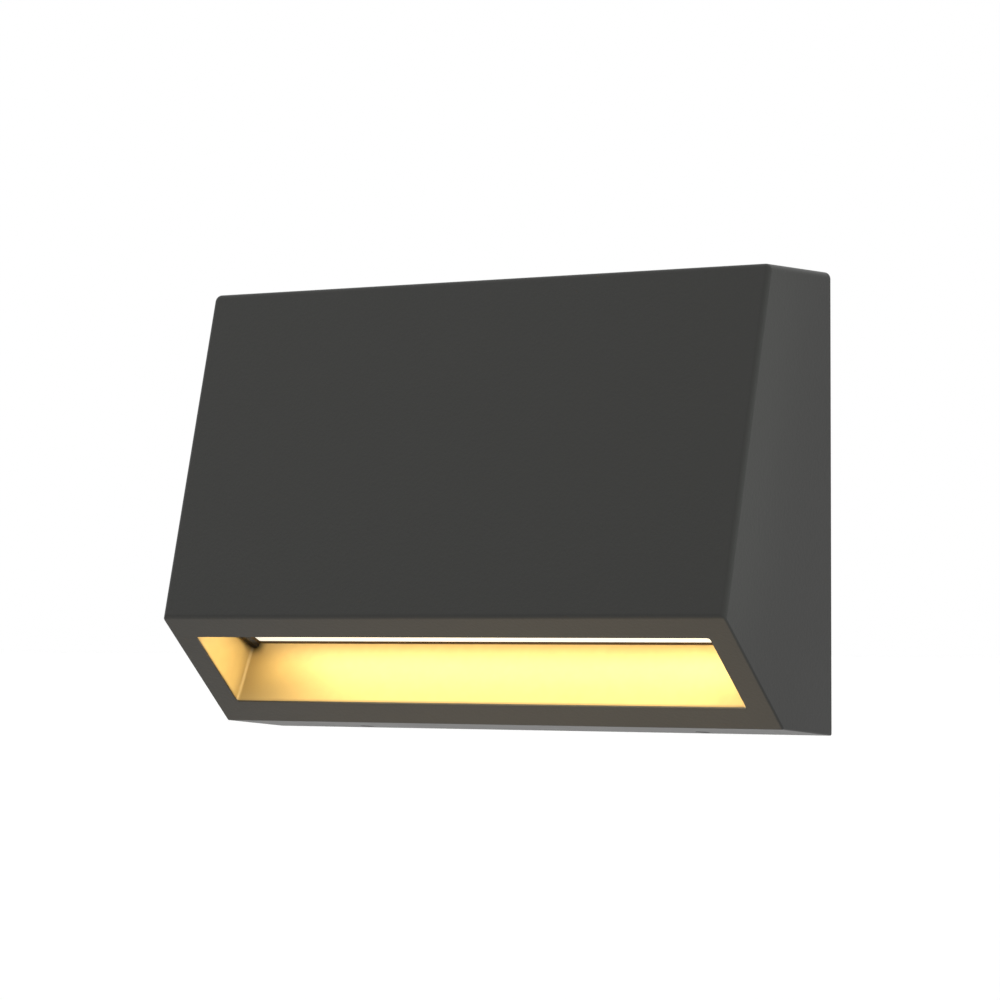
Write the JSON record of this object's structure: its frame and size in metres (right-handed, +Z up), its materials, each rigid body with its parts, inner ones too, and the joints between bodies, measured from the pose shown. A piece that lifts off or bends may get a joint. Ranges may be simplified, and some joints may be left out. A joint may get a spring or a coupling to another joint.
{
  "type": "outdoor wall light",
  "caption": "Wedge-shaped outdoor wall downlight: a cast head with a lit slanted recess in its lower front face, hung on a screwed wall plate and clamped by set screws from below.",
  "frame": {"origin": "middle of the wall face, on the wall plane at half the head's height", "axes": "+X to the right of someone facing the light, +Y into the wall, +Z up"},
  "size_m": [0.23, 0.0698, 0.155],
  "materials": {
    "anthracite_powder_coat": "matte",
    "reflector_gold": "satin",
    "zinc_plated_steel": "satin",
    "stainless_fastener": "satin",
    "black_set_screw": "satin",
    "mill_aluminium": "satin",
    "foam_gasket": "matte",
    "grommet_rubber": "matte",
    "silicone_seal": "matte",
    "thermal_silicone": "matte",
    "opal_diffuser": "satin",
    "white_plastic": "satin",
    "black_plastic": "satin",
    "natural_nylon": "satin",
    "contact_brass": "satin",
    "tinned_copper": "satin",
    "white_solder_mask": "gloss",
    "green_circuit_board": "gloss",
    "led_phosphor": "satin",
    "circuit_components": "satin",
    "brown_insulation": "satin",
    "blue_insulation": "satin",
    "green_yellow_insulation": "satin",
    "red_insulation": "satin",
    "black_insulation": "satin"
  },
  "bodies": {
    "wall_bracket": {"wall_plate": "zinc_plated_steel", "wall_gasket": "foam_gasket", "cable_grommet": "grommet_rubber", "terminal_block": "white_plastic", "terminal_contacts": "contact_brass", "terminal_screws": "zinc_plated_steel", "terminal_fixing_screws": "stainless_fastener", "earth_lug": "tinned_copper", "earth_washer": "stainless_fastener", "earth_screw": "contact_brass", "earth_wire": "green_yellow_insulation"},
    "lamp_head": {"housing": "anthracite_powder_coat", "reflector_tray": "reflector_gold", "diffuser_seal": "silicone_seal", "diffuser": "opal_diffuser", "diffuser_frame": "white_plastic", "led_board": "white_solder_mask", "led_chips": "led_phosphor", "led_board_screws": "stainless_fastener", "board_connector": "white_plastic", "thermal_pad": "thermal_silicone", "heat_sink": "mill_aluminium", "heat_sink_screws": "stainless_fastener", "rear_cover": "mill_aluminium", "rear_seal": "silicone_seal", "rear_cover_screws": "stainless_fastener", "vent_plug": "black_plastic", "plug_body": "black_plastic", "plug_pins": "contact_brass", "plug_screws": "stainless_fastener", "driver_cover": "black_plastic", "driver_case": "black_plastic", "driver_board": "green_circuit_board", "driver_components": "circuit_components", "driver_screws": "stainless_fastener", "live_lead": "brown_insulation", "neutral_lead": "blue_insulation", "led_positive_lead": "red_insulation", "led_negative_lead": "black_insulation", "head_earth_lug": "tinned_copper", "head_earth_screw": "contact_brass", "head_earth_lead": "green_yellow_insulation"},
    "left_pad": {"clamp_pad_left": "natural_nylon"},
    "left_screw": {"set_screw_left": "black_set_screw"},
    "right_pad": {"clamp_pad_right": "natural_nylon"},
    "right_screw": {"set_screw_right": "black_set_screw"}
  },
  "joints": [
    {"name": "head_pull", "type": "slide", "parent": "wall_bracket", "child": "lamp_head", "axis": [0, -1, 0], "range_m": [0, 0.08]},
    {"name": "left_pad_slide", "type": "slide", "parent": "lamp_head", "child": "left_pad", "axis": [0, 0, -1], "range_m": [0, 0.0024]},
    {"name": "left_screw_turn", "type": "hinge", "parent": "left_pad", "child": "left_screw", "pos_m": [-0.07, -0.009, -0.0673], "axis": [0, 0, -1], "range_deg": [0, 1170]},
    {"name": "right_pad_slide", "type": "slide", "parent": "lamp_head", "child": "right_pad", "axis": [0, 0, -1], "range_m": [0, 0.0024]},
    {"name": "right_screw_turn", "type": "hinge", "parent": "right_pad", "child": "right_screw", "pos_m": [0.07, -0.009, -0.0673], "axis": [0, 0, -1], "range_deg": [0, 1170]}
  ],
  "couplings": [
    {"joint": "left_screw_turn", "follows": "left_pad_slide", "rad_per_m": 7854},
    {"joint": "right_screw_turn", "follows": "right_pad_slide", "rad_per_m": 7854}
  ]
}
